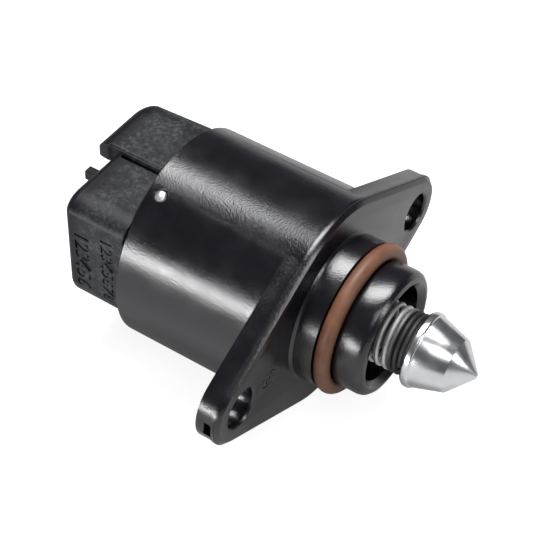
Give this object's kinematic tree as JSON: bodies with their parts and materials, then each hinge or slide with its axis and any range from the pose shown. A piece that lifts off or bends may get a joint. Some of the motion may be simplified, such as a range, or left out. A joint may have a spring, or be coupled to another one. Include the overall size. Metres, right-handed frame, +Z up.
{
  "type": "idle air control valve",
  "caption": "Stepper-driven valve with a conical sprung pintle, a sealed spigot, a two-lug flange on a round can and a stepped rear plug socket.",
  "frame": {"origin": "centre of the flange's front face, midway between the two bolt holes, on the valve's axis", "axes": "+X along the valve's axis out of the nose, Y along the two flange lugs, +Z up"},
  "size_m": [0.0676, 0.0618, 0.0352],
  "materials": {
    "housing_paint": "satin black paint on a die casting",
    "seal_rubber": "brown rubber",
    "pintle_metal": "bright turned aluminium",
    "screw_steel": "ground steel",
    "spring_steel": "drawn spring wire",
    "inner_plastic": "natural nylon",
    "bearing_steel": "ground bearing steel",
    "cage_plastic": "amber nylon",
    "hub_plastic": "black moulded plastic",
    "magnet": "sintered ferrite",
    "nut_brass": "turned brass",
    "bush_bronze": "sintered bronze",
    "stator_steel": "zinc-plated sheet steel",
    "winding_wire": "enamelled copper wire",
    "terminal_brass": "tinned brass",
    "gasket_rubber": "black rubber",
    "connector_plastic": "black glass-filled plastic"
  },
  "bodies": {
    "valve_body": {"housing": "housing_paint", "spigot_seal": "seal_rubber", "guide_bush": "inner_plastic", "spring_seat": "spring_steel", "bearing_outer_race": "bearing_steel", "preload_washer": "spring_steel", "rear_bush": "bush_bronze", "front_stator_cup": "stator_steel", "front_stator_plate": "stator_steel", "rear_stator_plate": "stator_steel", "rear_stator_cup": "stator_steel", "front_bobbin": "inner_plastic", "rear_bobbin": "inner_plastic", "front_winding": "winding_wire", "rear_winding": "winding_wire", "coil_pins": "terminal_brass", "terminal_1": "terminal_brass", "terminal_2": "terminal_brass", "terminal_3": "terminal_brass", "terminal_4": "terminal_brass", "plug_gasket": "gasket_rubber", "connector_body": "connector_plastic"},
    "rotor": {"rotor_hub": "hub_plastic", "rotor_magnet": "magnet", "drive_nut": "nut_brass", "bearing_inner_race": "bearing_steel"},
    "pintle_rod": {"pintle": "pintle_metal", "lead_screw": "screw_steel", "pintle_spring": "spring_steel"},
    "ball_set": {"bearing_cage": "cage_plastic", "bearing_balls": "bearing_steel"}
  },
  "joints": [
    {"name": "rotor_spin", "type": "hinge", "parent": "valve_body", "child": "rotor", "pos_m": [-0.016, 0, 0], "axis": [1, 0, 0], "range_deg": [-720, 2520]},
    {"name": "pintle_slide", "type": "slide", "parent": "valve_body", "child": "pintle_rod", "axis": [1, 0, 0], "range_m": [-0.007, 0.002], "deforming": ["pintle_spring"]},
    {"name": "ball_set_spin", "type": "hinge", "parent": "valve_body", "child": "ball_set", "pos_m": [-0.0058, 0, 0], "axis": [1, 0, 0], "range_deg": [-300, 1040]}
  ],
  "couplings": [
    {"joint": "pintle_slide", "follows": "rotor_spin", "m_per_rad": -0.00015915},
    {"joint": "ball_set_spin", "follows": "rotor_spin", "ratio": 0.40833}
  ]
}
